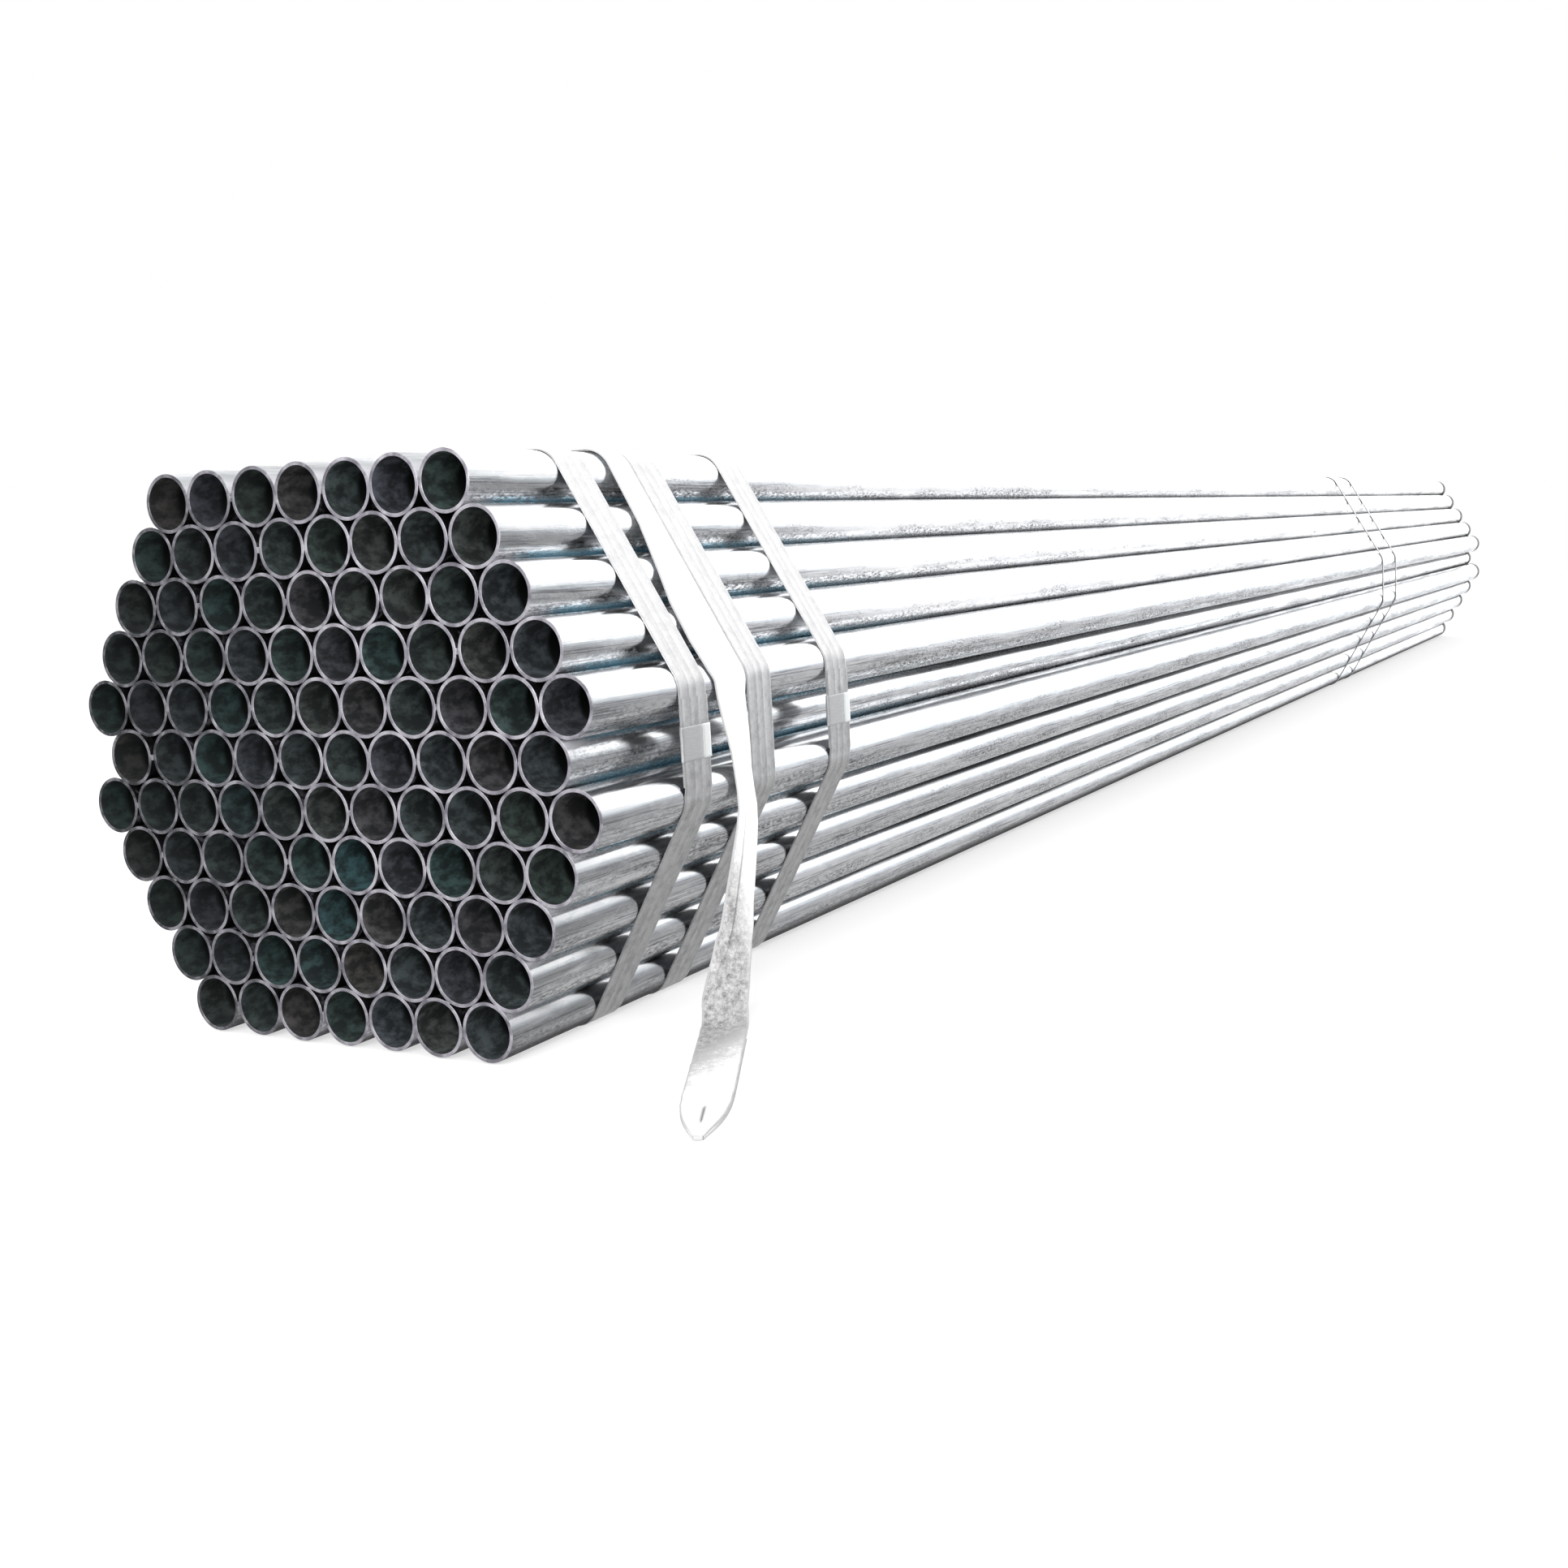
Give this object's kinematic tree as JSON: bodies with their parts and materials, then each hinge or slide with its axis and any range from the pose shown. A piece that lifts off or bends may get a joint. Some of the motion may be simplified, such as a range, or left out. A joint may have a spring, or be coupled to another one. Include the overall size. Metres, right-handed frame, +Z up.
{
  "type": "bundle of steel pipes",
  "caption": "Hexagonal bundle of long round galvanised steel pipes with open ends, held by flat steel straps, with a webbing lifting sling.",
  "frame": {"origin": "middle of the whole object's box, on the floor it lies on", "axes": "+X along the pipes, from the closely strapped near end to the far end; +Z up; the sling's free end lies on the -Y side"},
  "size_m": [5.9193, 0.8402, 0.5896],
  "materials": {
    "galvanised_pipe": "hot-dip galvanised, bright, with soft spangle",
    "strap_steel": "zinc-coated flat strap, satin",
    "seal_steel": "zinc-coated, crimped",
    "sling_webbing": "woven white webbing"
  },
  "bodies": {
    "root": {"pipe_row_01": "galvanised_pipe", "pipe_row_02": "galvanised_pipe", "pipe_row_03": "galvanised_pipe", "pipe_row_04": "galvanised_pipe", "pipe_row_05": "galvanised_pipe", "pipe_row_06": "galvanised_pipe", "pipe_row_07": "galvanised_pipe", "pipe_row_08": "galvanised_pipe", "pipe_row_09": "galvanised_pipe", "pipe_row_10": "galvanised_pipe", "pipe_row_11": "galvanised_pipe", "strap_1": "strap_steel", "strap_2": "strap_steel", "strap_3": "strap_steel", "strap_4": "strap_steel", "strap_5": "strap_steel", "seal_1": "seal_steel", "seal_2": "seal_steel", "seal_3": "seal_steel", "seal_4": "seal_steel", "seal_5": "seal_steel", "sling": "sling_webbing"}
  },
  "joints": []
}
